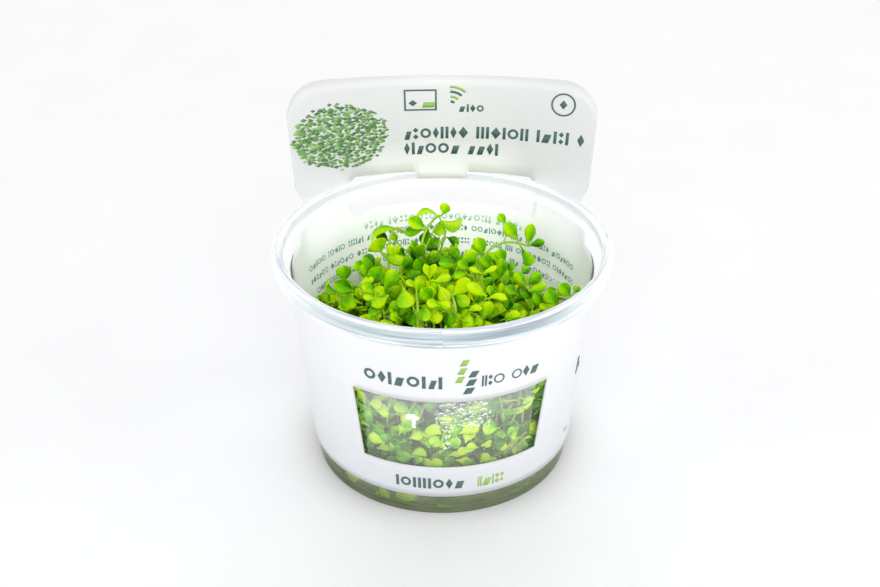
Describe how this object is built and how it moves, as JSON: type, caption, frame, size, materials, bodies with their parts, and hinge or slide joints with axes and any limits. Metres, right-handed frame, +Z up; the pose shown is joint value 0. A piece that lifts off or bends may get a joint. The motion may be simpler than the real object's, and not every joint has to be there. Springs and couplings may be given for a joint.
{
  "type": "monte carlo carpet plant in a tissue-culture cup",
  "caption": "Bushy mat of small round bright green leaves on thin stems, rooted in a layer of gel in a clear cup with a card sleeve that has a front window and a header panel.",
  "frame": {"origin": "middle of the cup's base, on the plane it rests on", "axes": "+Z up, -Y towards the sleeve's window, +Y towards the header panel, +X to the right seen from the window's side"},
  "size_m": [0.1, 0.1, 0.1031],
  "materials": {
    "clear_plastic": "clear, smooth and glossy",
    "white_card": "smooth coated white card with plain teal and green printed bars",
    "gel": "wet translucent grey-green growing gel",
    "carpet_green": "soft living leaves and thin stems, satin",
    "stem_green": "smooth pale green stem",
    "leaf_green": "smooth bright yellow-green leaf, satin"
  },
  "bodies": {
    "root": {"cup": "clear_plastic", "card_sleeve": "white_card", "nutrient_gel": "gel", "carpet_middle": "carpet_green", "carpet_right": "carpet_green", "carpet_back": "carpet_green", "carpet_back_left": "carpet_green", "carpet_left": "carpet_green", "carpet_front": "carpet_green", "carpet_front_right": "carpet_green", "tall_shoot_stem": "stem_green", "tall_shoot_leaf_1": "leaf_green", "tall_shoot_leaf_2": "leaf_green", "tall_shoot_leaf_3": "leaf_green", "tall_shoot_leaf_4": "leaf_green", "tall_shoot_leaf_5": "leaf_green", "tall_shoot_leaf_6": "leaf_green", "tall_shoot_leaf_7": "leaf_green", "tall_shoot_leaf_8": "leaf_green", "left_shoot_stem": "stem_green", "left_shoot_leaf_1": "leaf_green", "left_shoot_leaf_2": "leaf_green", "left_shoot_leaf_3": "leaf_green", "left_shoot_leaf_4": "leaf_green", "left_shoot_leaf_5": "leaf_green", "right_shoot_stem": "stem_green", "right_shoot_leaf_1": "leaf_green", "right_shoot_leaf_2": "leaf_green", "right_shoot_leaf_3": "leaf_green", "right_shoot_leaf_4": "leaf_green", "right_shoot_leaf_5": "leaf_green", "right_shoot_leaf_6": "leaf_green", "right_shoot_leaf_7": "leaf_green", "wall_shoot_stem": "stem_green", "wall_shoot_leaf_1": "leaf_green", "wall_shoot_leaf_2": "leaf_green", "wall_shoot_leaf_3": "leaf_green", "wall_shoot_leaf_4": "leaf_green", "middle_shoot_stem": "stem_green", "middle_shoot_leaf_1": "leaf_green", "middle_shoot_leaf_2": "leaf_green", "middle_shoot_leaf_3": "leaf_green", "middle_shoot_leaf_4": "leaf_green", "front_shoot_stem": "stem_green", "front_shoot_leaf_1": "leaf_green", "front_shoot_leaf_2": "leaf_green", "front_shoot_leaf_3": "leaf_green", "front_shoot_leaf_4": "leaf_green", "front_shoot_leaf_5": "leaf_green"}
  },
  "joints": []
}
